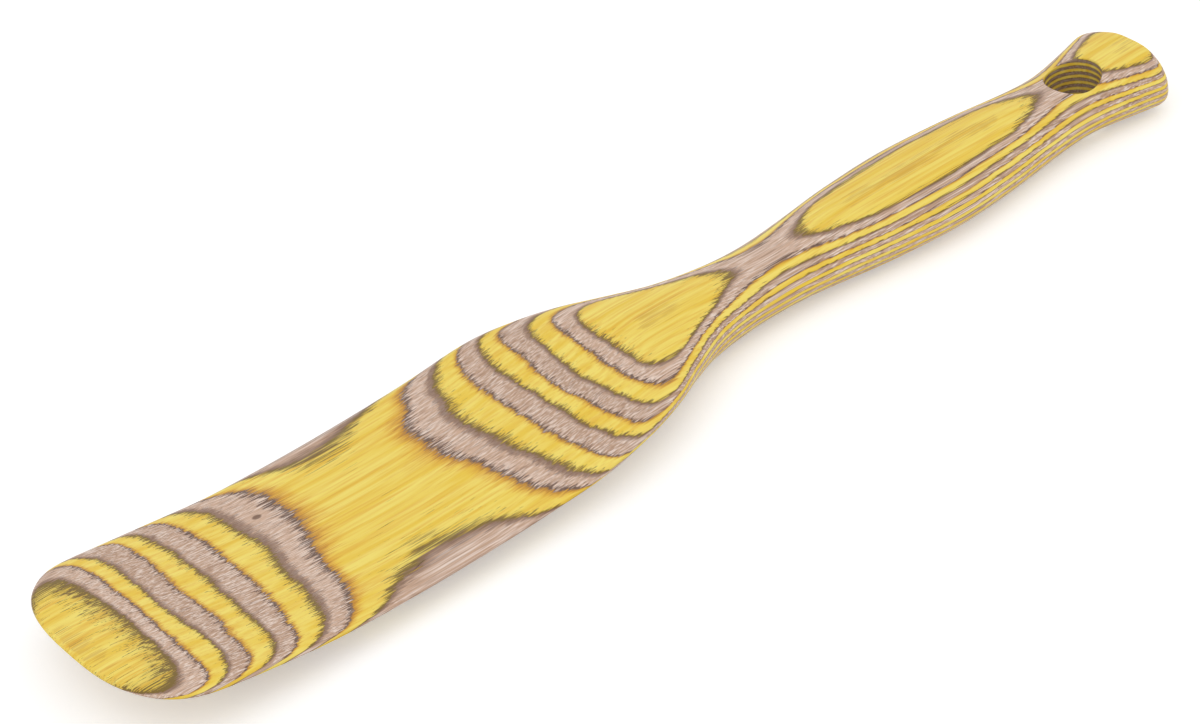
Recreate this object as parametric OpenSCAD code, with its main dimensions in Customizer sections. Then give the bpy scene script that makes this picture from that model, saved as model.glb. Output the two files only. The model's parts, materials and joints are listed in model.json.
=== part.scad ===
// Spurtle: a flat stirring paddle carved from one board of glued wood veneers.
// X runs along the tool from the blade's tip to the butt, Y across it, Z up through the veneers.
// The origin lies under the middle of the tool, level with the underside of the board.
// Distances along the tool are counted from the tip, and heights are counted in veneers
// from the underside of the board, so that every number can be read off the striped wood.

/* [Board] */
// Thickness of one veneer
veneer_t = 0.93; // [0.88:0.01:1]
// Length from the tip of the blade to the butt
tool_l = 330; // [310:1:350]

/* [Blade] */
// Greatest width of the blade
blade_w = 68.6; // [62:0.2:76]
// Distance from the tip to the lowest point of the scoop
scoop_from_tip = 84.6; // [82:0.2:88]
// Radius of the scoop along the blade
scoop_r = 355; // [335:1:375]
// Height of the scoop's floor, in veneers
scoop_floor = 8.6; // [8.3:0.1:8.9]
// Length over which the outline rounds off at the tip
tip_round = 22.4; // [18:0.2:26]

/* [Handle] */
// Width at the waist, between the blade and the grip
waist_w = 24.8; // [22:0.2:28]
// Width at the swell of the grip
grip_w = 36; // [32:0.2:40]
// Width at the collar, just before the hang hole
collar_w = 26.8; // [24:0.2:30]
// Width to which the butt flares
butt_w = 37; // [33:0.2:40]
// Length over which the outline rounds off at the butt
butt_round = 7.2; // [5:0.2:9]

/* [Hang hole] */
// Diameter of the hang hole
hole_d = 15; // [12:0.5:16]
// Distance from the butt to the middle of the hole
hole_from_butt = 21.6; // [20:0.2:24]

/* [Hidden] */
veneers = 17;
board_t = veneers * veneer_t;
yellow = "#e2c545";
grey = "#b7a396";

// Places along the tool, from the tip, where the outline turns
waist_s = tool_l - 122;
swell_s = tool_l - 76;
collar_s = tool_l - 27;
hole_s = tool_l - hole_from_butt;

// Spacing of the cross-sections along the tool
station_step = 5.4;
// Steps up each side of a section, on the handle and where a piece takes in the blade
handle_steps = 5;
blade_steps = 8;
// Flat left at both ends of the carved shape
end_flat = 0.15;
// How far a carved layer runs past its veneer on the handle, and its least share of the section's height
overrun = 0.45;
least_share = 0.08;
// Length behind the scoop's floor over which the layers narrow to that overrun
overrun_fade = 30;
// Length over which the edge rounds off at the tip and at the butt
tip_edge = 1.6;
butt_edge = 1;
// Softness of the scoop's upper rim
rim_blend = 1.9;
// Superellipse powers of the outline's ends and of the underside
tip_power = 2.7;
butt_power = 2.4;
keel_power = 2.2;

// Half-width of the outline
OUTLINE = [
    [18, blade_w / 2 - 1.1],
    [48, blade_w / 2 - 0.1],
    [80, blade_w / 2],
    [112, blade_w / 2],
    [131, blade_w / 2 - 0.5],
    [144, mix(waist_w, blade_w, 0.86) / 2],
    [156, mix(waist_w, blade_w, 0.64) / 2],
    [167, mix(waist_w, blade_w, 0.355) / 2],
    [178, mix(waist_w, blade_w, 0.115) / 2],
    [190, mix(waist_w, blade_w, 0.01) / 2],
    [waist_s - 4, waist_w / 2],
    [waist_s + 11, mix(waist_w, grip_w, 0.28) / 2],
    [swell_s - 18, mix(waist_w, grip_w, 0.74) / 2],
    [swell_s, grip_w / 2],
    [swell_s + 17, mix(collar_w, grip_w, 0.73) / 2],
    [collar_s - 13, mix(collar_w, grip_w, 0.15) / 2],
    [collar_s, collar_w / 2],
    [collar_s + 14.5, mix(collar_w, butt_w, 0.42) / 2],
    [tool_l, butt_w / 2]
];

// Height of the handle's upper ridge
RIDGE = [
    [150, 17],
    [178, 16.9],
    [waist_s - 4, 15.5],
    [swell_s - 25, 16.9],
    [swell_s, 17],
    [swell_s + 26, 17],
    [collar_s, 15.7],
    [collar_s + 16, 16.8],
    [tool_l, 17]
];

// Height at which the section is widest
BELLY = [
    [0, 16.4],
    [24, 11.6],
    [52, 8.2],
    [85, 7.3],
    [117, 8.6],
    [141, 11.6],
    [169, 12],
    [waist_s - 2, 8.8],
    [tool_l, 8.5]
];

// Height of the underside's middle line on the blade
KEEL = [
    [0, 15.4],
    [29, 9.4],
    [57, 6],
    [85, 4.9],
    [117, 4.6],
    [145, 4],
    [165, 1.6],
    [178, 0.1]
];

// Superellipse power of the section's upper half
TOP_POWER = [
    [0, 2.2],
    [29, 5],
    [57, 2.8],
    [85, 2],
    [130, 2],
    [178, 2.2],
    [collar_s, 2],
    [collar_s + 13, 2.3],
    [tool_l, 3]
];

// Value a share f of the way from a to b
function mix(a, b, f) = a + (b - a) * f;

// Number of the last point of curve c that lies before s
function span(c, s, i = 0) = i < len(c) - 2 && c[i + 1][0] < s ? span(c, s, i + 1) : i;

// Slope of curve c at its point i, taken across the points beside it
function slope(c, i) =
    let (a = max(i - 1, 0), b = min(i + 1, len(c) - 1))
    (c[b][1] - c[a][1]) / (c[b][0] - c[a][0]);

// Smooth curve through the points of c
function smooth(c, s) =
    let (
        i = span(c, s),
        h = c[i + 1][0] - c[i][0],
        t = min(max((s - c[i][0]) / h, 0), 1)
    )
    pow(1 - t, 2) * ((1 + 2 * t) * c[i][1] + t * h * slope(c, i))
    + pow(t, 2) * ((3 - 2 * t) * c[i + 1][1] - (1 - t) * h * slope(c, i + 1));

// Quarter of a superellipse, rising from 0 to 1 as t goes from 0 to 1
function rounded(t, power) = pow(1 - pow(1 - min(t, 1), power), 1 / power);

// Lesser of a and b, blended over the width k where they cross
function soft_min(a, b, k) = min(a, b) - pow(max(k - abs(a - b), 0), 2) / (4 * k);

// Half-width of the tool, in millimetres
function half_width(s) =
    smooth(OUTLINE, s)
    * rounded((s + end_flat) / tip_round, tip_power)
    * rounded((tool_l - s + end_flat) / butt_round, butt_power);

// Height of the scooped arc along the blade
function scoop(s) =
    scoop_floor + (scoop_r - sqrt(pow(scoop_r, 2) - pow(s - scoop_from_tip, 2))) / veneer_t;

// Distance from the scoop's lowest point at which it has risen to height h
function scoop_reach(h) = sqrt(pow(scoop_r, 2) - pow(scoop_r - (h - scoop_floor) * veneer_t, 2));

// Heights of the top and the underside before their ends are rounded
function raw_top(s) = s > scoop_from_tip + 120 ? smooth(RIDGE, s) : soft_min(scoop(s), smooth(RIDGE, s), rim_blend);
function raw_keel(s) = s < 178 ? smooth(KEEL, s) : veneers - smooth(RIDGE, s);

// Share of the section's height that is left by the rounded edge at both ends
function end_share(s) =
    rounded((s + end_flat) / tip_edge, 2) * rounded((tool_l - s + end_flat) / butt_edge, 2);

// Cross-section at s: half-width, underside, widest height, top and upper power
function section(s) =
    let (belly = smooth(BELLY, s), e = end_share(s))
    [
        half_width(s),
        belly - (belly - raw_keel(s)) * e,
        belly,
        belly + (raw_top(s) - belly) * e,
        smooth(TOP_POWER, s)
    ];

// Angle round the section at which its side reaches height h, from -90 below to 90 on top
function side_angle(sec, h) =
    h > sec[2]
    ? asin(pow(min((h - sec[2]) / (sec[3] - sec[2]), 1), sec[4] / 2))
    : -asin(pow(min((sec[2] - h) / (sec[2] - sec[1]), 1), keel_power / 2));

// Point on the side of the section at an angle: [distance from the middle, height in veneers]
function side_point(sec, angle) =
    let (
        power = angle > 0 ? sec[4] : keel_power,
        reach = angle > 0 ? sec[3] - sec[2] : sec[1] - sec[2]
    )
    [sec[0] * pow(cos(angle), 2 / power), sec[2] + reach * pow(abs(sin(angle)), 2 / power)];

// How far a layer runs past its veneer: the whole section up to the scoop's floor, and little on the handle
function overrun_at(s) = mix(veneers, overrun, min(max((s - scoop_from_tip) / overrun_fade, 0), 1));

// One ring of points round the part of the section that holds the layer between two heights
function ring(s, low, high, steps) =
    let (
        sec = section(s),
        over = steps == blade_steps ? overrun_at(s) : overrun,
        least = least_share * (sec[3] - sec[1]),
        bottom = min(max(sec[1], low - over), sec[3] - least),
        top = max(min(sec[3], high + over), sec[1] + least),
        from = max(side_angle(sec, bottom), -89),
        to = min(side_angle(sec, top), 89),
        side = [for (i = [0:steps]) side_point(sec, mix(from, to, i / steps))]
    )
    [
        for (p = side) [s - tool_l / 2, p[0], p[1] * veneer_t],
        for (i = [steps:-1:0]) [s - tool_l / 2, -side[i][0], side[i][1] * veneer_t]
    ];

// Cross-section places along the whole tool, closer together at the rounded ends
butt_s = tool_l - butt_round;
straight_steps = ceil((butt_s - tip_round) / station_step);
GRID = [
    for (i = [0:6]) tip_round * pow(i / 7, 3),
    for (i = [0:straight_steps]) mix(tip_round, butt_s, i / straight_steps),
    for (i = [4:-1:0]) tool_l - butt_round * pow(i / 5, 2)
];

// The places of the grid between two distances, with both of these
function stations(from, to) = [from, for (s = GRID) if (s > from + 0.5 && s < to - 0.5) s, to];

// Solid that holds the layer between two heights, carved to the shape of the tool
module carved_layer(from, to, low, high) {
    steps = from < scoop_from_tip ? blade_steps : handle_steps;
    rings = [for (s = stations(from, to)) ring(s, low, high, steps)];
    n = len(rings[0]);
    last = (len(rings) - 1) * n;
    polyhedron(
        points = [for (r = rings) each r],
        faces = [
            for (i = [0:len(rings) - 2], j = [0:n - 1])
                let (a = i * n + j, b = i * n + (j + 1) % n)
                each [[a, a + n, b + n], [a, b + n, b]],
            for (j = [1:n - 2]) [0, j, j + 1],
            for (j = [1:n - 2]) [last, last + j + 1, last + j]
        ]
    );
}

// Distance from the tip at which the underside comes down to height h
function underside_start(h) = max([0, for (s = GRID) if (s < swell_s && raw_keel(s) > h + 0.6) s]);

// Veneers that the scoop cuts in two, and the first that runs on below its floor
first_whole = veneers - floor(scoop_floor);

// Pieces of wood that veneer n is left as: [name, veneer, from, to]
function pieces_of(n) =
    let (
        high = veneers - n + 1,
        low = high - 1,
        label = str("veneer_", n < 10 ? "0" : "", n),
        start = underside_start(high),
        reach = n < first_whole ? scoop_reach(low) - 3 : 0
    )
    n == 1 ? [
        [str(label, "_tip"), n, 0, scoop_from_tip - reach],
        [str(label, "_shoulder"), n, scoop_from_tip + reach, waist_s - 4],
        [str(label, "_grip"), n, waist_s - 4, collar_s],
        [str(label, "_butt"), n, collar_s, tool_l]
    ]
    : n == 2 ? [
        [str(label, "_tip"), n, start, scoop_from_tip - reach],
        [str(label, "_handle"), n, scoop_from_tip + reach, hole_s],
        [str(label, "_butt"), n, hole_s, tool_l]
    ]
    : n < first_whole ? [
        [str(label, "_tip"), n, start, scoop_from_tip - reach],
        [str(label, "_handle"), n, scoop_from_tip + reach, tool_l]
    ]
    : n < veneers - 1 ? [[label, n, start, tool_l]]
    : n < veneers ? [
        [str(label, "_handle"), n, start, hole_s],
        [str(label, "_butt"), n, hole_s, tool_l]
    ]
    : [
        [str(label, "_shoulder"), n, start, waist_s - 4],
        [str(label, "_grip"), n, waist_s - 4, collar_s],
        [str(label, "_butt"), n, collar_s, tool_l]
    ];

PIECES = [for (n = [1:veneers]) each pieces_of(n)];

// The hang hole, straight through the board
module hang_hole() {
    translate([hole_s - tool_l / 2, 0, -1]) cylinder(d = hole_d, h = board_t + 2, $fn = 96);
}

// One piece of a veneer: a flat slice of the carved tool, with the hang hole through it
module veneer_piece(piece) {
    low = veneers - piece[1];
    color(piece[1] % 2 == 1 ? yellow : grey)
        difference() {
            intersection() {
                carved_layer(piece[2], piece[3], low, low + 1);
                translate([-tool_l, -blade_w, low * veneer_t]) cube([2 * tool_l, 2 * blade_w, veneer_t]);
            }
            if (piece[3] > hole_s - hole_d) hang_hole();
        }
}

for (p = PIECES) veneer_piece(p);
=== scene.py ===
"""A spurtle: a flat stirring paddle carved from one board of dyed wood veneers glued face to face.

Seventeen veneers run through the whole tool, yellow and grey in turn. The carving cuts them at a slant,
so they show as bands, and each piece of veneer that the carving leaves is a closed mesh of its own.
Places along the tool are in millimetres from the blade's tip, places across it are in millimetres from
its middle line, and heights are in veneers from the board's underside. Finished meshes are in metres.
"""

import json
import logging
import math
from dataclasses import dataclass
from enum import Enum

import bmesh
import bpy
import numpy as np
from mathutils import Matrix, Vector
from mathutils.geometry import delaunay_2d_cdt


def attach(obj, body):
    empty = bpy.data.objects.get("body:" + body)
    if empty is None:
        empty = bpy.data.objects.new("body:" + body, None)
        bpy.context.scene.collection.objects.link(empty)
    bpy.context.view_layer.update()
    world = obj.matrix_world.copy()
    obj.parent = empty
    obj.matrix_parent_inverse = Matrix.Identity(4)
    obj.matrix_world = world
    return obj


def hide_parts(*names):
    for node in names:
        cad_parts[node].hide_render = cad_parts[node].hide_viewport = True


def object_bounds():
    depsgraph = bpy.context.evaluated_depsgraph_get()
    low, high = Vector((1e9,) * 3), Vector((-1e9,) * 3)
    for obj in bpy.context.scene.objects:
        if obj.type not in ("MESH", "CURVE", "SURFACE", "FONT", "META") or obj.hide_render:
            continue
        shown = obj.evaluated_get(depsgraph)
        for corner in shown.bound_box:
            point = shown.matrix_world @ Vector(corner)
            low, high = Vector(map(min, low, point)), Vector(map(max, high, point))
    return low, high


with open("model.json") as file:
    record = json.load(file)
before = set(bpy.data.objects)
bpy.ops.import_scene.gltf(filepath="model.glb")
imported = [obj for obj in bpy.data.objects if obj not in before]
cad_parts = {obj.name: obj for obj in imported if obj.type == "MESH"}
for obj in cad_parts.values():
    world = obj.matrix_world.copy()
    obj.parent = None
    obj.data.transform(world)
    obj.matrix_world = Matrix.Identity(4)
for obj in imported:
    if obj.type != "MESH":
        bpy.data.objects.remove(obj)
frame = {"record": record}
cad_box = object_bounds()

log = logging.getLogger("spurtle")

MM = 0.001
VENEERS = 17
HEIGHT_LAYER = "layer_height"
REAL_Z = "carved_z"
SKIN = "skin_normal"
CAP = "glue_face"
BAKE_MAP = "OFBake"
SKIN_TOP = 0.9

Socket = bpy.types.NodeSocket
Source = bpy.types.NodeSocket | float


class Dye(Enum):
    """The two colours that the veneers are dyed, named by their material slots."""

    YELLOW = "yellow_veneer"
    GREY = "grey_veneer"

    @staticmethod
    def of(veneer: int) -> "Dye":
        """Return the dye of a veneer, counted from the scooped face down."""
        return Dye.YELLOW if veneer % 2 else Dye.GREY


@dataclass(frozen=True)
class Batten:
    """A smooth curve through a few points, as a bent batten gives it."""

    points: tuple[tuple[float, float], ...]

    def at(self, place: np.ndarray) -> np.ndarray:
        """Read the curve.

        Args:
            place: Places along the tool.

        Returns:
            The curve's value at each place.
        """
        xs, ys = np.array(self.points).T
        index = np.arange(len(xs))
        before, after = np.maximum(index - 1, 0), np.minimum(index + 1, len(xs) - 1)
        slopes = (ys[after] - ys[before]) / (xs[after] - xs[before])
        i = np.clip(np.searchsorted(xs, place) - 1, 0, len(xs) - 2)
        step = xs[i + 1] - xs[i]
        t = np.clip((place - xs[i]) / step, 0, 1)
        first = (1 - t) ** 2 * ((1 + 2 * t) * ys[i] + t * step * slopes[i])
        return first + t ** 2 * ((3 - 2 * t) * ys[i + 1] - (1 - t) * step * slopes[i + 1])


def mix(a: float, b: float, share: float) -> float:
    """Return the value that lies a share of the way from a to b."""
    return a + (b - a) * share


def rounded(t: np.ndarray, power: float) -> np.ndarray:
    """Return a quarter of a superellipse, which rises from 0 to 1 as t goes from 0 to 1."""
    return (1 - (1 - np.clip(t, 0, 1)) ** power) ** (1 / power)


@dataclass
class Section:
    """Cross-sections of the tool at some places along it: widths in millimetres, heights in veneers."""

    half_width: np.ndarray
    keel: np.ndarray
    belly: np.ndarray
    top: np.ndarray
    power: np.ndarray
    keel_power: float

    def face(self, across: np.ndarray, upper: bool) -> np.ndarray:
        """Find the height of the carved face.

        Args:
            across: Places across the tool, one for each section.
            upper: True for the upper face, False for the underside.

        Returns:
            The face's height at each place.
        """
        power = self.power if upper else self.keel_power
        reach = (self.top if upper else self.keel) - self.belly
        share = np.clip(np.abs(across) / self.half_width, 0, 1)
        return self.belly + reach * (1 - share ** power) ** (1 / power)


@dataclass
class CarvedForm:
    """The carved outside of the whole tool, before it is parted into veneers."""

    length: float
    veneer: float
    hole_place: float
    hole_radius: float
    blade_width: float = 68.5
    waist_width: float = 24.8
    grip_width: float = 36.0
    collar_width: float = 26.8
    butt_width: float = 37.0
    scoop_place: float = 84.6
    scoop_radius: float = 355.0
    scoop_floor: float = 8.6
    scoop_reach: float = 200.0
    scoop_end: float = 204.6
    mirror_from: float = 178.0
    rim_blend: float = 1.9
    tip_round: float = 22.4
    tip_power: float = 2.7
    butt_round: float = 7.2
    butt_power: float = 2.4
    tip_edge: float = 1.6
    butt_edge: float = 1.0
    keel_power: float = 2.2
    station_step: float = 0.65
    tip_rows: int = 90
    butt_rows: int = 40
    quarter_steps: int = 28
    arc_points: int = 240
    hole_sides: int = 128
    hole_edge: float = 0.4

    def __post_init__(self) -> None:
        """Lay out the battens that the form is carved to."""
        blade, waist, grip = self.blade_width, self.waist_width, self.grip_width
        collar, butt = self.collar_width, self.butt_width
        self.waist_place = self.length - 122
        self.swell_place = self.length - 76
        self.collar_place = self.length - 27
        self.outline = Batten((
            (18, blade / 2 - 1.1), (48, blade / 2 - 0.1), (80, blade / 2), (112, blade / 2),
            (131, blade / 2 - 0.5), (144, mix(waist, blade, 0.86) / 2), (156, mix(waist, blade, 0.64) / 2),
            (167, mix(waist, blade, 0.355) / 2), (178, mix(waist, blade, 0.115) / 2),
            (190, mix(waist, blade, 0.01) / 2), (self.waist_place - 4, waist / 2),
            (self.waist_place + 11, mix(waist, grip, 0.28) / 2),
            (self.swell_place - 18, mix(waist, grip, 0.74) / 2), (self.swell_place, grip / 2),
            (self.swell_place + 17, mix(collar, grip, 0.73) / 2),
            (self.collar_place - 13, mix(collar, grip, 0.15) / 2), (self.collar_place, collar / 2),
            (self.collar_place + 14.5, mix(collar, butt, 0.42) / 2), (self.length, butt / 2)))
        self.ridge = Batten((
            (150, 17), (178, 16.9), (self.waist_place - 4, 15.5), (self.swell_place - 25, 16.9),
            (self.swell_place, 17), (self.swell_place + 26, 17), (self.collar_place, 15.7),
            (self.collar_place + 16, 16.8), (self.length, 17)))
        self.belly = Batten((
            (0, 16.4), (24, 11.6), (52, 8.2), (85, 7.3), (117, 8.6), (141, 11.6), (169, 12),
            (self.waist_place - 2, 8.8), (self.length, 8.5)))
        self.keel = Batten((
            (0, 15.4), (29, 9.4), (57, 6), (85, 4.9), (117, 4.6), (145, 4), (165, 1.6), (178, 0.1)))
        self.top_power = Batten((
            (0, 2.2), (29, 5), (57, 2.8), (85, 2), (130, 2), (178, 2.2), (self.collar_place, 2),
            (self.collar_place + 13, 2.3), (self.length, 3)))

    def scoop(self, place: np.ndarray) -> np.ndarray:
        """Follow the scooped arc along the blade.

        Args:
            place: Places along the tool.

        Returns:
            The arc's height at each place, in veneers.
        """
        run = np.minimum(np.abs(place - self.scoop_place), self.scoop_reach)
        sink = self.scoop_radius - np.sqrt(self.scoop_radius ** 2 - run ** 2)
        return self.scoop_floor + sink / self.veneer

    def sections(self, place: np.ndarray) -> Section:
        """Work out the cross-sections at some places.

        Args:
            place: Places along the tool.

        Returns:
            The sections, with the ends rounded off.
        """
        left = self.length - place
        ridge, scoop = np.minimum(self.ridge.at(place), VENEERS), self.scoop(place)
        blend = np.maximum(self.rim_blend - np.abs(scoop - ridge), 0) ** 2 / (4 * self.rim_blend)
        top = np.where(place > self.scoop_end, ridge, np.minimum(scoop, ridge) - blend)
        keel = np.where(place < self.mirror_from, self.keel.at(place), VENEERS - ridge)
        belly = self.belly.at(place)
        ends = rounded(place / self.tip_edge, 2) * rounded(left / self.butt_edge, 2)
        width = self.outline.at(place) * rounded(place / self.tip_round, self.tip_power)
        width = width * rounded(left / self.butt_round, self.butt_power)
        return Section(width, belly - (belly - keel) * ends, belly, belly + (top - belly) * ends,
                       self.top_power.at(place), self.keel_power)

    def stations(self) -> np.ndarray:
        """Space out the rings of points, closer together at the two ends.

        Returns:
            Their places along the tool.
        """
        tip = self.tip_round * (np.arange(1, self.tip_rows) / self.tip_rows) ** 3
        butt = self.length - self.butt_round * (np.arange(self.butt_rows - 1, 0, -1) / self.butt_rows) ** 3
        run = self.length - self.butt_round - self.tip_round
        middle = np.linspace(0, run, math.ceil(run / self.station_step) + 1) + self.tip_round
        return np.concatenate([tip, middle, butt])

    def quarter(self, section: Section, i: int, upper: bool) -> np.ndarray:
        """Space points evenly over a quarter of one section.

        Args:
            section: The sections.
            i: Which of them.
            upper: True for the quarter above the widest place, False for the one below.

        Returns:
            Rows of distance from the middle and height in millimetres, from the widest place inward.
        """
        power = section.power[i] if upper else section.keel_power
        reach = (section.top[i] if upper else section.keel[i]) - section.belly[i]
        angle = np.linspace(0, np.pi / 2, self.arc_points)
        across = section.half_width[i] * np.cos(angle).clip(0) ** (2 / power)
        height = (section.belly[i] + reach * np.sin(angle) ** (2 / power)) * self.veneer
        run = np.concatenate([[0], np.cumsum(np.hypot(np.diff(across), np.diff(height)))])
        even = np.linspace(0, run[-1], self.quarter_steps + 1)
        return np.column_stack([np.interp(even, run, across), np.interp(even, run, height)])

    def blank(self) -> bpy.types.Mesh:
        """Build the closed skin of the tool, without its hang hole.

        Returns:
            The mesh, in millimetres.
        """
        places = self.stations()
        section = self.sections(places)
        rings = []
        for i, place in enumerate(places):
            over, under = self.quarter(section, i, True), self.quarter(section, i, False)
            right = np.concatenate([under[::-1][:-1], over[:-1]])
            left = np.concatenate([over[::-1][:-1], under[:-1]]) * (-1, 1)
            ring = np.concatenate([right, left])
            rings.append(np.column_stack([np.full(len(ring), place), ring]))
        around, count = len(rings[0]), len(rings)
        ends = [(end, 0, self.belly.at(end) * self.veneer) for end in (0.0, self.length)]
        points = np.concatenate([np.concatenate(rings), np.array(ends, float)])
        faces, corners = [], []
        for j in range(around):
            k, low, high = (j + 1) % around, SKIN_TOP * j / around, SKIN_TOP * (j + 1) / around
            tip, butt = count * around, count * around + 1
            faces.append((tip, k, j))
            corners += [(0, low), (0, high), (0, low)]
            for i in range(count - 1):
                a, b = i * around, (i + 1) * around
                near, far = places[i] / self.length, places[i + 1] / self.length
                faces.append((a + j, a + k, b + k, b + j))
                corners += [(near, low), (near, high), (far, high), (far, low)]
            last = (count - 1) * around
            faces.append((butt, last + j, last + k))
            corners += [(1, low), (1, low), (1, high)]
        return self.skin_mesh("blank", points, faces, corners)

    def drill(self) -> bpy.types.Mesh:
        """Build the plug that the hang hole is cut with: straight, with an eased edge on both faces.

        Returns:
            The mesh, in millimetres.
        """
        turns = np.linspace(0, 2 * np.pi, self.hole_sides, endpoint=False)
        eases = [math.radians(a) for a in (75, 50, 25, 0)]
        steps = [(1.5, 0.4)] + [(1 - math.cos(a), math.sin(a) - 1) for a in eases]
        rows = []
        for upper, order in ((False, steps), (True, steps[::-1])):
            for out, rise in order:
                radius = self.hole_radius + self.hole_edge * out
                place, across = self.hole_place + radius * np.cos(turns), radius * np.sin(turns)
                face = self.sections(place).face(across, upper) * self.veneer
                height = face + self.hole_edge * rise * (1 if upper else -1)
                rows.append(np.column_stack([place, across, height]))
        clear = 2.0
        rows.insert(0, rows[0] * (1, 1, 0) - (0, 0, clear))
        rows.append(rows[-1] * (1, 1, 0) + (0, 0, VENEERS * self.veneer + clear))
        n, count = self.hole_sides, len(rows)
        faces, corners = [], []
        for i in range(count - 1):
            low, high = (mix(SKIN_TOP + 0.02, 1, (i + k) / count) for k in (0, 1))
            for j in range(n):
                k = (j + 1) % n
                faces.append((i * n + j, i * n + k, (i + 1) * n + k, (i + 1) * n + j))
                corners += [(j / n, low), ((j + 1) / n, low), ((j + 1) / n, high), (j / n, high)]
        for ring in (range(n - 1, -1, -1), range((count - 1) * n, count * n)):
            faces.append(tuple(ring))
            corners += [(0, 1)] * n
        return self.skin_mesh("drill", np.concatenate(rows), faces, corners)

    @staticmethod
    def skin_mesh(name: str, points: np.ndarray, faces: list[tuple[int, ...]],
                  corners: list[tuple[float, float]]) -> bpy.types.Mesh:
        """Make a closed smooth mesh with its map of the skin.

        Args:
            name: Name of the mesh.
            points: Its points, in millimetres.
            faces: Its faces.
            corners: The place on the map of each face corner.

        Returns:
            The mesh, with its normals outward.
        """
        mesh = bpy.data.meshes.new(name)
        mesh.from_pydata(points.tolist(), [], faces)
        layer = mesh.uv_layers.new(name=BAKE_MAP)
        layer.data.foreach_set("uv", np.array(corners, np.float32).ravel())
        work = bmesh.new()
        work.from_mesh(mesh)
        bmesh.ops.recalc_face_normals(work, faces=work.faces)
        for face in work.faces:
            face.smooth = True
        work.to_mesh(mesh)
        work.free()
        return mesh

    def drilled(self) -> bpy.types.Mesh:
        """Cut the hang hole through the carved skin.

        Returns:
            The mesh, in millimetres.
        """
        body = bpy.data.objects.new("blank", self.blank())
        plug = bpy.data.objects.new("drill", self.drill())
        for thing in (body, plug):
            bpy.context.scene.collection.objects.link(thing)
        hole = body.modifiers.new("hang_hole", "BOOLEAN")
        hole.operation, hole.object, hole.solver = "DIFFERENCE", plug, "EXACT"
        graph = bpy.context.evaluated_depsgraph_get()
        mesh = bpy.data.meshes.new_from_object(body.evaluated_get(graph))
        for thing in (body, plug):
            bpy.data.objects.remove(thing)
        return mesh


@dataclass(frozen=True)
class Lobe:
    """A place where a glue line bulges up or down, as pressed veneers do."""

    line: int
    place: float
    across: float
    rise: float
    long: float
    wide: float

    def height(self, place: np.ndarray, across: np.ndarray) -> np.ndarray:
        """Return the bulge's height at some places, in veneers."""
        spread = ((place - self.place) / self.long) ** 2 + ((across - self.across) / self.wide) ** 2
        return self.rise * np.exp(-spread)


LOBES = (
    Lobe(8, 66, -30, 0.35, 20, 8), Lobe(8, 106, -30, 0.5, 22, 8),
    Lobe(9, 62, -13, 0.4, 20, 19), Lobe(9, 66, 30, -0.45, 18, 15), Lobe(9, 113, -10, 0.65, 18, 19),
    Lobe(10, 56, 6, -0.2, 14, 11), Lobe(10, 52, 30, -0.35, 14, 10), Lobe(10, 119, -13, 0.26, 14, 14),
    Lobe(10, 118, 26, -0.15, 14, 10),
    Lobe(11, 46, 4, -0.22, 14, 20), Lobe(11, 44, 29, -0.28, 14, 12), Lobe(11, 126, -4, 0.2, 14, 22),
    Lobe(11, 127, 27, -0.22, 14, 8),
    Lobe(12, 38, 0, -0.25, 12, 60), Lobe(12, 133, -5, 0.18, 12, 13), Lobe(12, 134, 27, -0.3, 12, 10),
    Lobe(13, 32, 0, -0.16, 12, 60), Lobe(13, 32, 28, -0.2, 12, 12), Lobe(13, 139, 4, -0.1, 12, 40),
    Lobe(13, 141, 31, -0.5, 14, 9), Lobe(13, 143, -32, -0.5, 14, 9),
    Lobe(14, 26, -23, -0.28, 10, 14), Lobe(14, 21, 32, 0.28, 10, 6), Lobe(14, 150, -28, -0.75, 16, 10),
    Lobe(14, 146, 27, -0.42, 16, 9), Lobe(14, 144, 6, -0.12, 12, 20),
    Lobe(15, 20, -4, -0.12, 9, 36), Lobe(15, 19, -31, -0.3, 9, 7), Lobe(15, 156, -24, -0.55, 16, 9),
    Lobe(15, 154, 24, -0.62, 16, 8), Lobe(15, 150, 3, 0.12, 10, 12),
    Lobe(16, 17, -8, -0.42, 9, 28), Lobe(16, 167, -16, -0.65, 18, 8), Lobe(16, 168, 17, -0.95, 18, 9),
    Lobe(16, 262, -13, -0.5, 40, 6), Lobe(16, 262, 13, -0.5, 40, 6))


@dataclass(frozen=True)
class Piece:
    """One piece of wood: a stretch of one veneer."""

    node: str
    veneer: int
    start: float
    end: float

    @property
    def dye(self) -> Dye:
        """Return the piece's dye."""
        return Dye.of(self.veneer)


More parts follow.
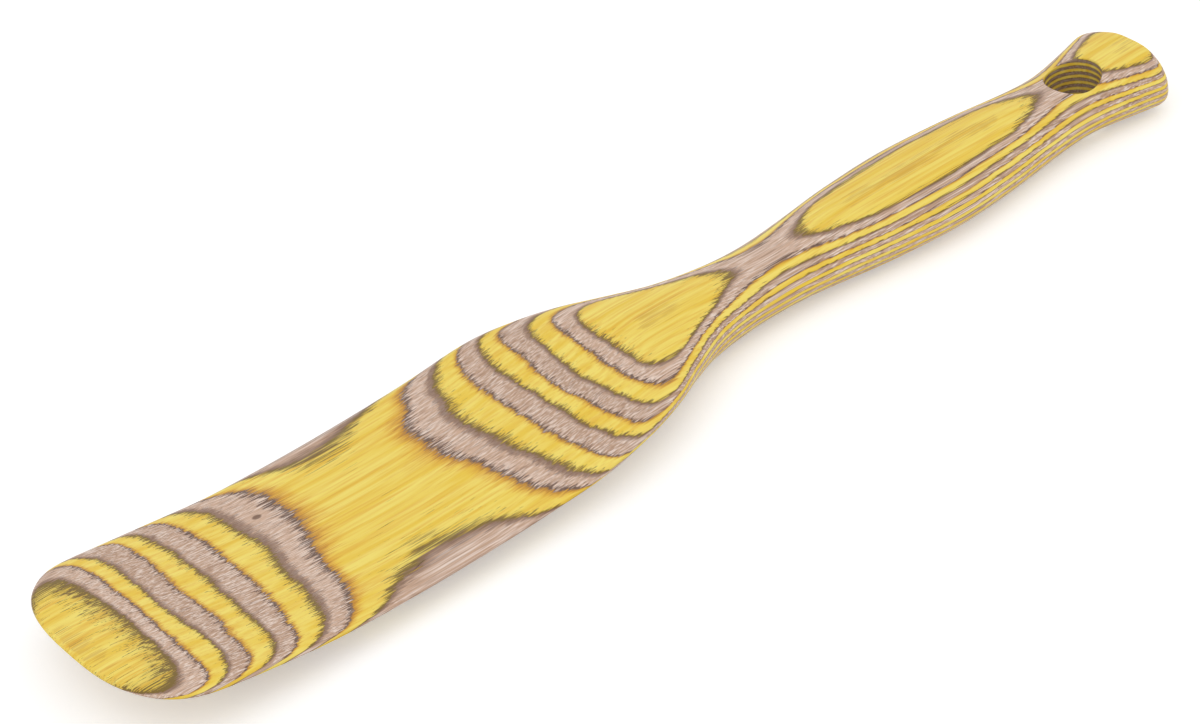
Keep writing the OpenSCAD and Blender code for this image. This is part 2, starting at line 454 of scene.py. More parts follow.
@dataclass
class VeneerStack:
    """The board's veneers, with the gentle waves that pressing leaves in their glue lines."""

    form: CarvedForm
    lobes: tuple[Lobe, ...] = LOBES
    ripples: int = 4
    ripple_height: float = 0.022
    shortest: float = 14.0
    longest: float = 46.0
    seed: int = 20

    def line_offset(self, line: int, place: np.ndarray, across: np.ndarray) -> np.ndarray:
        """Find how far a glue line lies above its true level.

        Args:
            line: Which glue line, counted from the board's underside.
            place: Places along the tool.
            across: Places across it.

        Returns:
            The offset at each place, in veneers.
        """
        dice = np.random.default_rng(self.seed + line)
        total = np.zeros_like(place)
        for lobe in self.lobes:
            if lobe.line == line:
                total = total + lobe.height(place, across)
        for _ in range(self.ripples):
            along, side = dice.uniform(self.shortest, self.longest, 2)
            turns = place / along + across / side + dice.random()
            total = total + self.ripple_height * np.sin(2 * np.pi * turns)
        return total

    def heights(self, points: np.ndarray) -> np.ndarray:
        """Find how high points lie in the stack, with every glue line at a whole number.

        Args:
            points: Points on the carved skin, in millimetres.

        Returns:
            The height of each point, in veneers.
        """
        place, across, level = points[:, 0], points[:, 1], points[:, 2] / self.form.veneer
        offset = np.zeros_like(level)
        for line in range(1, VENEERS):
            near = np.clip(1 - np.abs(level - line), 0, 1)
            offset += near * self.line_offset(line, place, across)
        return np.clip(level - offset, 0, VENEERS)

    def pieces(self) -> list[Piece]:
        """List every piece of wood that the carving leaves.

        Returns:
            The pieces, from the scooped face down.
        """
        form = self.form
        scoop, waist = form.scoop_place, form.waist_place - 4
        collar, hole = form.collar_place, form.hole_place
        splits = {1: ("tip", scoop, "shoulder", waist, "grip", collar, "butt"),
                  2: ("tip", scoop, "handle", hole, "butt"),
                  16: ("handle", hole, "butt"),
                  17: ("shoulder", waist, "grip", collar, "butt")}
        splits.update({n: ("tip", scoop, "handle") for n in range(3, 9)})
        found = []
        for veneer in range(1, VENEERS + 1):
            split = splits.get(veneer, ("",))
            places = [-1.0, *split[1::2], form.length + 1]
            for i, word in enumerate(split[::2]):
                node = f"veneer_{veneer:02d}" + (f"_{word}" if word else "")
                found.append(Piece(node, veneer, places[i], places[i + 1]))
        return found


@dataclass
class Spurtle:
    """The whole tool: cuts the carved form into its pieces of veneer and dresses them."""

    stack: VeneerStack
    body: str = "root"
    cut_tolerance: float = 1e-6
    fill_tolerance: float = 1e-6
    map_margin: float = 0.015
    map_foot: float = 0.06
    glue_room: float = 0.03
    glue_margin: float = 0.005

    def marked_skin(self) -> bpy.types.Mesh:
        """Flatten the drilled skin so that its glue lines lie level, and keep its real heights.

        Returns:
            The flattened mesh, in millimetres.
        """
        mesh = self.stack.form.drilled()
        count = len(mesh.vertices)
        points = np.empty(count * 3, np.float32)
        normals = np.empty(count * 3, np.float32)
        mesh.vertices.foreach_get("co", points)
        mesh.vertex_normals.foreach_get("vector", normals)
        points = points.reshape(-1, 3)
        real = mesh.attributes.new(REAL_Z, "FLOAT", "POINT")
        real.data.foreach_set("value", points[:, 2].copy())
        skin = mesh.attributes.new(SKIN, "FLOAT_VECTOR", "POINT")
        skin.data.foreach_set("vector", normals)
        mesh.attributes.new(CAP, "INT", "FACE")
        points[:, 2] = self.stack.heights(points.astype(float)) * self.stack.form.veneer
        mesh.vertices.foreach_set("co", points.ravel())
        mesh.update()
        return mesh

    def cut(self, work: bmesh.types.BMesh, point: Vector, normal: Vector) -> None:
        """Cut away what lies on one side of a plane, and close the cut with a flat face.

        Args:
            work: The wood, changed in place.
            point: A point on the plane.
            normal: Points to the side that goes.
        """
        everything = work.verts[:] + work.edges[:] + work.faces[:]
        result = bmesh.ops.bisect_plane(work, geom=everything, dist=self.cut_tolerance, plane_co=point,
                                        plane_no=normal, clear_outer=True)
        rim = [e for e in result["geom_cut"] if isinstance(e, bmesh.types.BMEdge)]
        if not rim:
            return
        verts = list(dict.fromkeys(vert for edge in rim for vert in edge.verts))
        number = {vert: i for i, vert in enumerate(verts)}
        across, up = (0, 1) if normal.z else (1, 2)
        flat = [Vector((vert.co[across], vert.co[up])) for vert in verts]
        lines = [(number[edge.verts[0]], number[edge.verts[1]]) for edge in rim]
        _, sides, triangles, sources, drawn, _ = delaunay_2d_cdt(flat, lines, [], 0, self.fill_tolerance)
        walls = {frozenset(side) for side, line in zip(sides, drawn) if line}
        glue = work.faces.layers.int[CAP]
        for triangle in self.enclosed([tuple(t) for t in triangles], walls):
            face = work.faces.new([verts[sources[i][0]] for i in triangle])
            face[glue] = 1
        for edge in rim:
            edge.smooth = False

    @staticmethod
    def enclosed(triangles: list[tuple[int, ...]], walls: set[frozenset[int]]) -> list[tuple[int, ...]]:
        """Keep the triangles that lie within closed lines and not in a hole.

        Args:
            triangles: Triangles that fill the whole area, as numbers of points.
            walls: The sides that lie on the lines.

        Returns:
            The triangles that an odd number of lines shuts off from the outside.
        """
        meeting: dict[frozenset[int], list[int]] = {}
        for n, triangle in enumerate(triangles):
            for pair in zip(triangle, triangle[1:] + triangle[:1]):
                meeting.setdefault(frozenset(pair), []).append(n)
        within: dict[int, bool] = {}
        waiting = [(owners[0], side in walls) for side, owners in meeting.items() if len(owners) == 1]
        while waiting:
            n, inside = waiting.pop()
            if n in within:
                continue
            within[n] = inside
            triangle = triangles[n]
            for pair in zip(triangle, triangle[1:] + triangle[:1]):
                side = frozenset(pair)
                waiting += [(other, inside != (side in walls)) for other in meeting[side] if other != n]
        return [triangle for n, triangle in enumerate(triangles) if within[n]]

    def slab(self, skin: bpy.types.Mesh, veneer: int) -> bmesh.types.BMesh:
        """Cut one veneer out of the skin.

        Args:
            skin: The flattened skin.
            veneer: Which veneer, counted from the scooped face.

        Returns:
            All the wood of the veneer.
        """
        work = bmesh.new()
        work.from_mesh(skin)
        high, thick = VENEERS - veneer + 1, self.stack.form.veneer
        if veneer > 1:
            self.cut(work, Vector((0, 0, high * thick)), Vector((0, 0, 1)))
        if veneer < VENEERS:
            self.cut(work, Vector((0, 0, (high - 1) * thick)), Vector((0, 0, -1)))
        return work

    def part(self, slab: bmesh.types.BMesh, piece: Piece) -> bpy.types.Object:
        """Part one piece from its veneer and put its real heights back.

        Args:
            slab: All the wood of the veneer.
            piece: The piece.

        Returns:
            The piece as an object in the frame, in metres.
        """
        work = slab.copy()
        self.cut(work, Vector((piece.start, 0, 0)), Vector((-1, 0, 0)))
        self.cut(work, Vector((piece.end, 0, 0)), Vector((1, 0, 0)))
        glue = work.faces.layers.int[CAP]
        bmesh.ops.triangulate(work, faces=[f for f in work.faces if f[glue] and len(f.verts) > 3])
        bmesh.ops.recalc_face_normals(work, faces=work.faces)
        for face in work.faces:
            face.smooth = not face[glue]
        open_edges = sum(1 for e in work.edges if len(e.link_faces) != 2)
        mesh = bpy.data.meshes.new(f"carved_{piece.node}")
        work.to_mesh(mesh)
        work.free()
        self.lift(mesh)
        self.lay_map(mesh)
        self.shade_skin(mesh)
        thing = bpy.data.objects.new(f"carved_{piece.node}", mesh)
        bpy.context.scene.collection.objects.link(thing)
        log.info("%s: %d faces, %d open edges", thing.name, len(mesh.polygons), open_edges)
        return thing

    def lift(self, mesh: bpy.types.Mesh) -> None:
        """Put a flattened piece's real heights back, keep its height in the stack, and turn it to metres.

        Args:
            mesh: The piece, changed in place.
        """
        form, count = self.stack.form, len(mesh.vertices)
        points, real = np.empty(count * 3, np.float32), np.empty(count, np.float32)
        mesh.vertices.foreach_get("co", points)
        mesh.attributes[REAL_Z].data.foreach_get("value", real)
        points = points.reshape(-1, 3)
        heights = mesh.attributes.new(HEIGHT_LAYER, "FLOAT", "POINT")
        heights.data.foreach_set("value", points[:, 2] / form.veneer)
        points[:, 2] = real
        points[:, 0] -= form.length / 2
        mesh.vertices.foreach_set("co", (points * MM).ravel())
        mesh.attributes.remove(mesh.attributes[REAL_Z])
        mesh.update()

    @staticmethod
    def glue_corners(mesh: bpy.types.Mesh) -> np.ndarray:
        """Find which face corners belong to glue faces.

        Args:
            mesh: A piece.

        Returns:
            True for each corner of a glue face.
        """
        glue = np.zeros(len(mesh.polygons), np.int32)
        mesh.attributes[CAP].data.foreach_get("value", glue)
        sizes = np.zeros(len(mesh.polygons), np.int32)
        mesh.polygons.foreach_get("loop_total", sizes)
        return np.repeat(glue > 0, sizes)

    def lay_map(self, mesh: bpy.types.Mesh) -> None:
        """Spread a piece's skin over its map, the hole's wall along one edge and glue faces in a corner.

        Args:
            mesh: The piece, changed in place.
        """
        spots = np.zeros(len(mesh.loops) * 2, np.float32)
        layer = mesh.uv_layers[BAKE_MAP]
        layer.data.foreach_get("uv", spots)
        spots = spots.reshape(-1, 2)
        glue = self.glue_corners(mesh)
        skin = ~glue & (spots[:, 1] <= SKIN_TOP + 0.005)
        low, high = spots[skin].min(0), spots[skin].max(0)
        share = (spots[skin] - low) / np.maximum(high - low, 1e-6)
        room = np.array((1 - 2 * self.map_margin, SKIN_TOP - self.map_foot))
        spots[skin] = np.array((self.map_margin, self.map_foot)) + share * room
        verts = np.zeros(len(mesh.loops), np.int32)
        mesh.loops.foreach_get("vertex_index", verts)
        points = np.empty(len(mesh.vertices) * 3, np.float32)
        mesh.vertices.foreach_get("co", points)
        flat = points.reshape(-1, 3)[verts][:, :2]
        reach = np.abs(flat).max() * 2
        spots[glue] = (flat[glue] / reach + 0.5) * self.glue_room + self.glue_margin
        layer.data.foreach_set("uv", spots.ravel())

    def shade_skin(self, mesh: bpy.types.Mesh) -> None:
        """Give a piece's skin the whole tool's normals, so that light runs on over the glue lines.

        Args:
            mesh: The piece, changed in place.
        """
        count = len(mesh.vertices)
        normals = np.empty(count * 3, np.float32)
        mesh.attributes[SKIN].data.foreach_get("vector", normals)
        verts = np.zeros(len(mesh.loops), np.int32)
        mesh.loops.foreach_get("vertex_index", verts)
        corners = normals.reshape(-1, 3)[verts]
        corners[self.glue_corners(mesh)] = 0
        mesh.normals_split_custom_set(corners.tolist())
        mesh.attributes.remove(mesh.attributes[SKIN])
        mesh.attributes.remove(mesh.attributes[CAP])

    def build(self, finishes: dict[Dye, bpy.types.Material]) -> list[bpy.types.Object]:
        """Cut, dress and place every piece of wood.

        Args:
            finishes: The material of each dye.

        Returns:
            The pieces, from the scooped face down.
        """
        skin = self.marked_skin()
        made = []
        slab, cut_veneer = None, 0
        for piece in self.stack.pieces():
            if piece.veneer != cut_veneer:
                slab, cut_veneer = self.slab(skin, piece.veneer), piece.veneer
            thing = self.part(slab, piece)
            thing.data.materials.clear()
            thing.data.materials.append(finishes[piece.dye])
            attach(thing, self.body)
            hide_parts(piece.node)
            piece.dye.value
            made.append(thing)
        return made


def paint(code: str) -> tuple[float, float, float, float]:
    """Turn a colour written as six hex digits into a shader colour.

    Args:
        code: The six digits.

    Returns:
        Red, green, blue and 1, as light.
    """
    parts = [int(code[i:i + 2], 16) / 255 for i in (0, 2, 4)]
    linear = [c / 12.92 if c <= 0.04045 else ((c + 0.055) / 1.055) ** 2.4 for c in parts]
    return (*linear, 1.0)


class Wiring:
    """Adds nodes to a tree and joins them, one call for a node."""

    def __init__(self, tree: bpy.types.NodeTree) -> None:
        """Keep the tree that is being wired."""
        self.tree = tree

    def put(self, kind: str, inputs: dict[int | str, object] | None = None,
            **settings: object) -> bpy.types.Node:
        """Add a node.

        Args:
            kind: The node's type.
            inputs: Values or sockets for its inputs, by index or name.
            settings: Values of its own properties.

        Returns:
            The node.
        """
        node = self.tree.nodes.new(kind)
        for name, value in settings.items():
            setattr(node, name, value)
        for name, value in (inputs or {}).items():
            self.feed(node.inputs[name], value)
        return node

    def feed(self, socket: Socket, value: object) -> None:
        """Join a socket to another, or set its value.

        Args:
            socket: The input socket.
            value: The socket or the value that it takes.
        """
        if isinstance(value, bpy.types.NodeSocket):
            self.tree.links.new(value, socket)
        else:
            socket.default_value = value

    def math(self, operation: str, a: Source, b: Source = 0.0, clamp: bool = False) -> Socket:
        """Return the result of one sum."""
        return self.put("ShaderNodeMath", {0: a, 1: b}, operation=operation, use_clamp=clamp).outputs[0]

    def blend(self, share: Source, a: object, b: object) -> Socket:
        """Mix two colours.

        Args:
            share: How much of the second colour.
            a: The first colour.
            b: The second colour.

        Returns:
            The mixed colour.
        """
        node = self.put("ShaderNodeMix", data_type="RGBA")
        for index, value in ((0, share), (6, a), (7, b)):
            self.feed(node.inputs[index], value)
        return node.outputs[2]

    def rise(self, value: Source, low: Source, high: Source) -> Socket:
        """Return a soft step from 0 at low to 1 at high."""
        return self.put("ShaderNodeMapRange", {"Value": value, "From Min": low, "From Max": high},
                        interpolation_type="SMOOTHSTEP").outputs["Result"]

    def scaled(self, value: Source, factor: Source, add: Source = 0.0) -> Socket:
        """Return value times factor plus another value."""
        return self.put("ShaderNodeMath", {0: value, 1: factor, 2: add},
                        operation="MULTIPLY_ADD").outputs[0]

    def distance(self, point: Socket, centre: tuple[float, ...], scale: tuple[float, ...]) -> Socket:
        """Measure how far a point is from a centre, with each axis scaled.

        Args:
            point: The point.
            centre: The centre.
            scale: Factor of each axis.

        Returns:
            The distance.
        """
        away = self.put("ShaderNodeVectorMath", {0: point, 1: centre}, operation="SUBTRACT").outputs[0]
        away = self.put("ShaderNodeVectorMath", {0: away, 1: scale}, operation="MULTIPLY").outputs[0]
        return self.put("ShaderNodeVectorMath", {0: away}, operation="LENGTH").outputs["Value"]


def new_group(name: str, inputs: dict[str, str], outputs: dict[str, str]) -> tuple[Wiring, Socket, Socket]:
    """Start a shader node group.

    Args:
        name: The group's name.
        inputs: Socket type of each input.
        outputs: Socket type of each output.

    Returns:
        The wiring of the new group, its inputs and its outputs.
    """
    tree = bpy.data.node_groups.new(name, "ShaderNodeTree")
    for sockets, way in ((inputs, "INPUT"), (outputs, "OUTPUT")):
        for label, kind in sockets.items():
            tree.interface.new_socket(name=label, in_out=way, socket_type=kind)
    wiring = Wiring(tree)
    return wiring, wiring.put("NodeGroupInput").outputs, wiring.put("NodeGroupOutput").inputs


@dataclass(frozen=True)
class Strokes:
    """Fibres of wood that run along the tool: a node group that gives a value from 0 to 1."""

    detail: float = 2.0
    roughness: float = 0.62
    faint: float = 0.27
    full: float = 0.73

    def group(self) -> bpy.types.NodeTree:
        """Build the group, with the fibres' length and width in millimetres as inputs.

        Returns:
            The group.
        """
        wiring, given, out = new_group(
            "wood_strokes",
            {"Position": "NodeSocketVector", "Length": "NodeSocketFloat", "Width": "NodeSocketFloat",
             "Seed": "NodeSocketFloat"},
            {"Strokes": "NodeSocketFloat"})
        along = wiring.math("DIVIDE", 1 / MM, given["Length"])
        side = wiring.math("DIVIDE", 1 / MM, given["Width"])
        scale = wiring.put("ShaderNodeCombineXYZ", {0: along, 1: side, 2: side}).outputs[0]
        place = wiring.put("ShaderNodeVectorMath", {0: given["Position"], 1: scale},
                           operation="MULTIPLY").outputs[0]
        noise = wiring.put("ShaderNodeTexNoise",
                           {"Vector": place, "W": given["Seed"], "Scale": 1.0, "Detail": self.detail,
                            "Roughness": self.roughness}, noise_dimensions="4D")
        spread = wiring.put("ShaderNodeMapRange",
                            {"Value": noise.outputs[0], "From Min": self.faint, "From Max": self.full})
        wiring.feed(out["Strokes"], spread.outputs["Result"])
        return wiring.tree


@dataclass(frozen=True)
class Ply:
    """How one veneer has taken its dye.

    tone goes from 0, light, to 1, dark or golden. below and above say how far dark dye has crept into it
    from the glue lines below and above, as a share of its thickness.
    """

    tone: float
    below: float
    above: float


@dataclass(frozen=True)
class VeneerShades:
    """Colours of the dyed veneers, and the node group that lays them through the stack."""

    lemon: str = "f5df6c"
    sunny: str = "ecc636"
    golden: str = "e4ab20"
    orange: str = "d6901b"
    amber: str = "b06f1c"
    olive: str = "5e4413"
    moss: str = "a9882a"
    pale: str = "f5e3d7"
    beige: str = "d0ad94"
    taupe: str = "ad886d"
    umber: str = "6d4a35"
    plum: str = "4b2f25"
    hole_shade: str = "3d2e17"
    # painted shade: the dark brown laid over the hang hole's wall, where shade falls
    knot: str = "6b4a35"
    hole_x: float = 0.1434
    hole_radius: float = 0.0075
    knot_place: tuple[float, float, float] = (-0.1042, 0.0167, 0.0087)
    knot_size: tuple[float, float, float] = (0.0014, 0.0010, 0.0020)
    soak_from: float = -0.142
    soak_to: float = -0.122
    fringe: float = 0.28
    wave: float = 0.16
    plies: tuple[Ply, ...] = (
        Ply(0.55, 0.95, 0.00), Ply(0.15, 0.42, 0.26), Ply(0.30, 0.34, 0.16), Ply(0.60, 0.30, 0.26),
        Ply(0.40, 0.44, 0.16), Ply(0.50, 0.32, 0.24), Ply(0.30, 0.50, 0.14), Ply(0.15, 0.58, 0.42),
        Ply(0.50, 0.55, 0.20), Ply(0.30, 0.26, 0.30), Ply(0.40, 0.26, 0.14), Ply(0.50, 0.26, 0.22),
        Ply(0.55, 0.24, 0.14), Ply(0.40, 0.26, 0.22), Ply(0.50, 0.24, 0.14), Ply(0.35, 0.26, 0.22),
        Ply(0.50, 0.20, 0.70))

    def table(self, wiring: Wiring, number: Socket) -> Socket:
        """Look up how a veneer has taken its dye.

        Args:
            wiring: The tree.
            number: The veneer's number, counted from the underside and from 0.

        Returns:
            Outputs with its tone and how far dark dye has crept in from below and from above.
        """
        share = wiring.scaled(number, 1 / VENEERS, 0.5 / VENEERS)
        node = wiring.put("ShaderNodeValToRGB", {0: share})
        ramp = node.color_ramp
        ramp.interpolation = "CONSTANT"
        for i, ply in enumerate(reversed(self.plies)):
            stop = ramp.elements[i] if i < 2 else ramp.elements.new(i / VENEERS)
            stop.position = i / VENEERS
            stop.color = (ply.tone, ply.below, ply.above, 1)
        return wiring.put("ShaderNodeSeparateColor", {0: node.outputs[0]}).outputs

    def group(self, strokes: bpy.types.NodeTree) -> bpy.types.NodeTree:
        """Build the group that colours the whole stack.

        Args:
            strokes: The fibres' group.

        Returns:
            The group: a point and its height in the stack go in, and colour, roughness and grain come out.
        """
        wiring, given, out = new_group(
            "veneer_stack",
            {"Height": "NodeSocketFloat", "Position": "NodeSocketVector", "Normal": "NodeSocketVector",
             "Hairs": "NodeSocketFloat"},
            {"Color": "NodeSocketColor", "Roughness": "NodeSocketFloat", "Grain": "NodeSocketFloat"})

        def fibres(length: float, width: float, seed: float) -> Socket:
            """Return one set of fibres."""
            return self.set_of_fibres(wiring, strokes, given["Position"], length, width, seed)

        hairs, fine = fibres(22, 0.30, 1.0), fibres(12, 0.18, 2.0)
        dark_hairs, broad = fibres(18, 0.28, 3.0), fibres(60, 2.6, 4.0)
        swell, patch = fibres(9, 5.0, 5.0), fibres(34, 1.1, 6.0)
        facing = wiring.put("ShaderNodeSeparateXYZ", {0: given["Normal"]}).outputs[2]
        flat = wiring.rise(wiring.math("ABSOLUTE", facing), 0.3, 0.9)
        reach = wiring.scaled(flat, 0.75 * self.fringe, 0.25 * self.fringe)
        reach = wiring.math("MULTIPLY", given["Hairs"], reach)
        shift = wiring.math("MULTIPLY", wiring.math("SUBTRACT", hairs, 0.5), reach)
        shift = wiring.math("ADD", shift, wiring.scaled(swell, self.wave, -0.5 * self.wave))
        height = wiring.math("ADD", given["Height"], shift)
        height = wiring.math("MINIMUM", wiring.math("MAXIMUM", height, 0.001), VENEERS - 0.001)
        number = wiring.math("FLOOR", height)
        share = wiring.math("SUBTRACT", height, number)
        tone, below, above = list(self.table(wiring, number))[:3]
        grey = wiring.math("MODULO", number, 2.0)

        place = wiring.put("ShaderNodeSeparateXYZ", {0: given["Position"]}).outputs[0]
        beyond = wiring.rise(place, self.soak_from, self.soak_to)
        soak = wiring.scaled(flat, 0.5, 0.5)
        below = wiring.math("MINIMUM", below, wiring.scaled(beyond, -0.58, 1.0))
        below = wiring.math("MULTIPLY", below, soak)
        above = wiring.math("MULTIPLY", above, soak)
        length = wiring.math("POWER", dark_hairs, 2.1)
        low_edge = wiring.math("MULTIPLY", below, wiring.scaled(length, 1.25, 0.06))
        low_stain = wiring.rise(wiring.math("SUBTRACT", low_edge, share), -0.035, 0.05)
        moss = wiring.rise(wiring.math("SUBTRACT", wiring.scaled(below, 0.7), share), -0.1, 0.5)
        high_edge = wiring.math("MULTIPLY", above, wiring.scaled(fine, 0.7, 0.2))
        from_top = wiring.math("SUBTRACT", 1.0, share)
        high_stain = wiring.rise(wiring.math("SUBTRACT", high_edge, from_top), -0.07, 0.08)
        glow = wiring.rise(wiring.math("SUBTRACT", wiring.scaled(above, 1.8), from_top), 0.0, 0.25)

        yellow = wiring.blend(wiring.rise(broad, 0.2, 0.85), paint(self.lemon), paint(self.sunny))
        gold = wiring.math("MULTIPLY", wiring.rise(patch, 0.35, 0.95), wiring.scaled(tone, 1.2, 0.1),
                           clamp=True)
        warm = wiring.rise(hairs, 0.6, 1.0)
        yellow = self.layers(wiring, yellow, (
            (gold, 1.0, self.golden), (warm, 0.35, self.orange), (fine, 0.2, self.lemon),
            (glow, 0.55, self.orange), (high_stain, 0.7, self.amber), (moss, 0.45, self.moss),
            (low_stain, 0.85, self.olive)))
        grey_wood = wiring.blend(tone, paint(self.beige), paint(self.taupe))
        grey_wood = self.layers(wiring, grey_wood, (
            (wiring.rise(patch, 0.5, 1.0), 0.45, self.umber),
            (wiring.rise(hairs, 0.38, 0.8), 0.78, self.pale),
            (wiring.rise(fine, 0.5, 0.95), 0.56, self.umber),
            (high_stain, 0.72, self.umber), (low_stain, 0.85, self.plum)))
        grey_wood = self.with_knot(wiring, given["Position"], grey_wood)
        colour = wiring.blend(grey, yellow, grey_wood)
        # Painted shade: the hang hole's wall is pulled towards a dark brown, more on grey veneers than on
        # yellow ones.
        hole = self.in_hole(wiring, given["Position"])
        hole_shade_share = wiring.math("MULTIPLY", hole, wiring.scaled(grey, 0.42, 0.16))

        wiring.feed(out["Color"], wiring.blend(hole_shade_share, colour, paint(self.hole_shade)))
        wiring.feed(out["Roughness"], wiring.scaled(fine, 0.14, 0.42))
        wiring.feed(out["Grain"], wiring.scaled(hairs, 0.6, wiring.math("MULTIPLY", fine, 0.4)))
        return wiring.tree

    @staticmethod
    def layers(wiring: Wiring, colour: Socket, glazes: tuple[tuple[Socket, float, str], ...]) -> Socket:
        """Lay glazes over a colour, one after another.

        Args:
            wiring: The tree that they go into.
            colour: The colour under them.
            glazes: For each glaze, where it lies, how strong it is, and its colour.

        Returns:
            The colour with its glazes.
        """
        for mask, strength, code in glazes:
            colour = wiring.blend(wiring.math("MULTIPLY", mask, strength), colour, paint(code))
        return colour

    def in_hole(self, wiring: Wiring, position: Socket) -> Socket:
        """Find the wall of the hang hole.

        Args:
            wiring: The tree.
            position: The point.

        Returns:
            1 on the hole's wall and 0 outside it.
        """
        radius = wiring.distance(position, (self.hole_x, 0, 0), (1, 1, 0))
        edge = wiring.rise(radius, self.hole_radius * 1.005, self.hole_radius * 1.04)
        return wiring.math("SUBTRACT", 1.0, edge)

    def with_knot(self, wiring: Wiring, position: Socket, base: Socket) -> Socket:
        """Add the small oval knot, with its pale ring, to the grey wood.

        Args:
            wiring: The tree.
            position: The point.
            base: The wood's colour.

        Returns:
            The colour with the knot in it.
        """
        radius = wiring.distance(position, self.knot_place, tuple(1 / reach for reach in self.knot_size))
        ring = wiring.math("SUBTRACT", 1.0, wiring.rise(radius, 1.6, 3.0))
        heart = wiring.math("SUBTRACT", 1.0, wiring.rise(radius, 0.6, 1.1))
        base = wiring.blend(wiring.math("MULTIPLY", ring, 0.6), base, paint(self.beige))
        return wiring.blend(wiring.math("MULTIPLY", heart, 0.85), base, paint(self.knot))

    @staticmethod
    def set_of_fibres(wiring: Wiring, strokes: bpy.types.NodeTree, position: Socket, length: float,
                      width: float, seed: float) -> Socket:
        """Place one set of fibres.

        Args:
            wiring: The tree that they go into.
            strokes: The fibres' group.
            position: The point.
            length: Length of a fibre in millimetres.
            width: Width of a fibre in millimetres.
            seed: Which set.

        Returns:
            The fibres' value.
        """
        node = wiring.put("ShaderNodeGroup", node_tree=strokes)
        for name, value in (("Position", position), ("Length", length), ("Width", width), ("Seed", seed)):
            wiring.feed(node.inputs[name], value)
        return node.outputs["Strokes"]


@dataclass(frozen=True)
class VeneerFinish:
    """The satin finish of one dye: shades from the shared group, with a thin coat over open grain."""

    dye: Dye
    hairs: float = 1.0
    coat: float = 0.12
    coat_roughness: float = 0.34
    specular: float = 0.38
    grain_depth: float = 0.03

    def material(self, shades: bpy.types.NodeTree) -> bpy.types.Material:
        """Build the material.

        Args:
            shades: The stack's colour group.

        Returns:
            The material.
        """
        made = bpy.data.materials.new(self.dye.value)
        made.use_nodes = True
        tree = made.node_tree
        tree.nodes.clear()
        wiring = Wiring(tree)
        height = wiring.put("ShaderNodeAttribute", attribute_name=HEIGHT_LAYER)
        point = wiring.put("ShaderNodeTexCoord")
        look = wiring.put("ShaderNodeGroup", node_tree=shades)
        wiring.feed(look.inputs["Height"], height.outputs["Fac"])
        wiring.feed(look.inputs["Position"], point.outputs["Object"])
        surface = wiring.put("ShaderNodeNewGeometry")
        wiring.feed(look.inputs["Normal"], surface.outputs["Normal"])
        wiring.feed(look.inputs["Hairs"], self.hairs)
        bump = wiring.put("ShaderNodeBump", {"Height": look.outputs["Grain"], "Strength": 0.6,
                                             "Distance": self.grain_depth * MM})
        shader = wiring.put("ShaderNodeBsdfPrincipled", {
            "Base Color": look.outputs["Color"], "Roughness": look.outputs["Roughness"],
            "Specular IOR Level": self.specular, "Coat Weight": self.coat,
            "Coat Roughness": self.coat_roughness, "Normal": bump.outputs["Normal"]})
        wiring.put("ShaderNodeOutputMaterial", {"Surface": shader.outputs[0]})
        return made


@dataclass(frozen=True)
class Softbox:
    """A square soft lamp that faces the object."""

    name: str
    azimuth: float
    elevation: float
    size: float
    power: float
    distance: float = 1.7


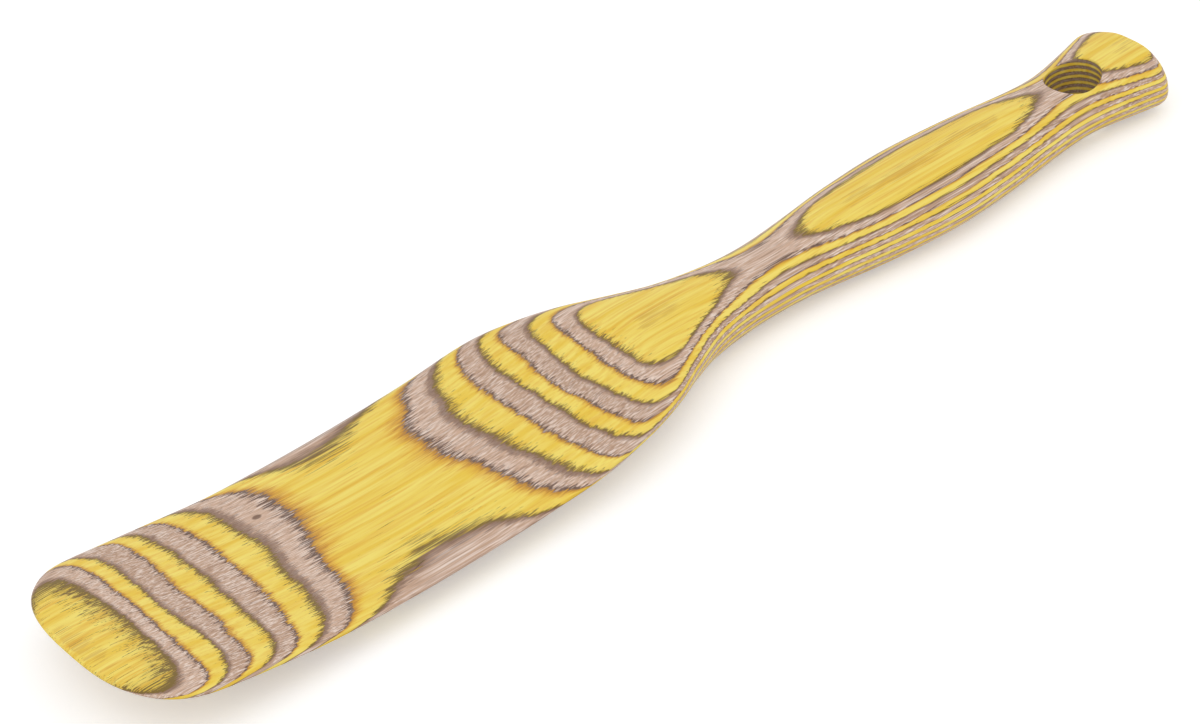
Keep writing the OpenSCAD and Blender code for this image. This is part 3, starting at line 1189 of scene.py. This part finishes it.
@dataclass
class Studio:
    """A plain pale floor, soft light, and the camera at the photograph's angle."""

    floor_reach: float = 3.0
    floor_shade: float = 0.86
    floor_lift: float = 0.34
    sky: float = 0.78
    azimuth: float = -31.26
    elevation: float = 35.35
    roll: float = -10.73
    distance: float = 0.9071
    focal_px: float = 3739.0
    image_width_px: float = 1200.0
    sensor: float = 36.0
    target: tuple[float, float, float] = (-0.01269, 0.001453, 0.00976)
    lamps: tuple[Softbox, ...] = (Softbox("key_softbox", -60.0, 55.0, 1.6, 5.0),
                                  Softbox("fill_softbox", 40.0, 40.0, 1.8, 2.5))

    @staticmethod
    def direction(azimuth: float, elevation: float) -> Vector:
        """Return the unit vector from the object to a place seen at an azimuth and elevation in degrees."""
        az, el = math.radians(azimuth), math.radians(elevation)
        return Vector((math.sin(az) * math.cos(el), -math.cos(az) * math.cos(el), math.sin(el)))

    def set_floor(self) -> None:
        """Lay the floor, which shows white and keeps the object's shadow."""
        work = bmesh.new()
        bmesh.ops.create_grid(work, x_segments=2, y_segments=2, size=self.floor_reach)
        mesh = bpy.data.meshes.new("floor")
        work.to_mesh(mesh)
        work.free()
        floor = bpy.data.objects.new("floor", mesh)
        bpy.context.scene.collection.objects.link(floor)
        paper = bpy.data.materials.new("pale_paper")
        paper.use_nodes = True
        paper.node_tree.nodes.clear()
        wiring = Wiring(paper.node_tree)
        path = wiring.put("ShaderNodeLightPath")
        seen = wiring.math("MAXIMUM", path.outputs["Is Camera Ray"], path.outputs["Is Glossy Ray"])
        shade = (self.floor_shade,) * 3 + (1.0,)
        shader = wiring.put("ShaderNodeBsdfPrincipled", {
            "Base Color": shade, "Roughness": 0.9, "Specular IOR Level": 0.0,
            "Emission Color": (1, 1, 1, 1),
            "Emission Strength": wiring.math("MULTIPLY", seen, self.floor_lift)})
        wiring.put("ShaderNodeOutputMaterial", {"Surface": shader.outputs[0]})
        mesh.materials.append(paper)

    def set_light(self) -> None:
        """Light the object evenly from a pale room, with two softboxes for a little shape."""
        world = bpy.data.worlds.new("studio")
        bpy.context.scene.world = world
        world.use_nodes = True
        world.node_tree.nodes.clear()
        wiring = Wiring(world.node_tree)
        path = wiring.put("ShaderNodeLightPath")
        seen = wiring.math("MAXIMUM", path.outputs["Is Camera Ray"], path.outputs["Is Glossy Ray"])
        room = wiring.put("ShaderNodeBackground", {
            "Color": (1, 1, 1, 1), "Strength": wiring.scaled(seen, 1 - self.sky, self.sky)})
        wiring.put("ShaderNodeOutputWorld", {"Surface": room.outputs[0]})
        for box in self.lamps:
            light = bpy.data.lights.new(box.name, "AREA")
            light.energy, light.size = box.power, box.size
            lamp = bpy.data.objects.new(box.name, light)
            bpy.context.scene.collection.objects.link(lamp)
            away = self.direction(box.azimuth, box.elevation)
            turn = away.to_track_quat("Z", "Y").to_matrix().to_4x4()
            lamp.matrix_world = Matrix.Translation(away * box.distance) @ turn

    def set_camera(self) -> None:
        """Stand the camera where the photograph was taken from."""
        data = bpy.data.cameras.new("camera")
        data.sensor_fit, data.sensor_width = "HORIZONTAL", self.sensor
        data.lens = self.sensor * self.focal_px / self.image_width_px
        camera = bpy.data.objects.new("camera", data)
        bpy.context.scene.collection.objects.link(camera)
        back = self.direction(self.azimuth, self.elevation)
        az, roll = math.radians(self.azimuth), math.radians(self.roll)
        level = Vector((math.cos(az), math.sin(az), 0))
        rise = back.cross(level)
        right = math.cos(roll) * level + math.sin(roll) * rise
        upward = math.cos(roll) * rise - math.sin(roll) * level
        place = Vector(self.target) + back * self.distance
        turn = Matrix((right, upward, back)).transposed().to_4x4()
        camera.matrix_world = Matrix.Translation(place) @ turn
        bpy.context.scene.camera = camera

    def build(self) -> None:
        """Set up the floor, the light, the camera and the view."""
        self.set_camera()
        self.set_floor()
        self.set_light()
        bpy.context.scene.view_settings.view_transform = "Standard"


def main() -> None:
    """Build the studio and the spurtle, and report each piece."""
    logging.basicConfig(level=logging.INFO, format="%(name)s: %(message)s")
    Studio().build()
    low, high = cad_box
    mount = next(m for m in frame["record"]["mounts"] if m["name"] == "hang_hole")
    length = (high[0] - low[0]) / MM
    form = CarvedForm(length=length, veneer=(high[2] - low[2]) / MM / VENEERS,
                      hole_place=mount["pos_m"][0] / MM + length / 2, hole_radius=mount["dims"]["r_mm"])
    shades = VeneerShades(hole_x=mount["pos_m"][0], hole_radius=form.hole_radius * MM)
    stack_group = shades.group(Strokes().group())
    finishes = {dye: VeneerFinish(dye).material(stack_group) for dye in Dye}
    pieces = Spurtle(VeneerStack(form)).build(finishes)
    log.info("%d pieces of veneer", len(pieces))


if __name__ == "__main__":
    main()
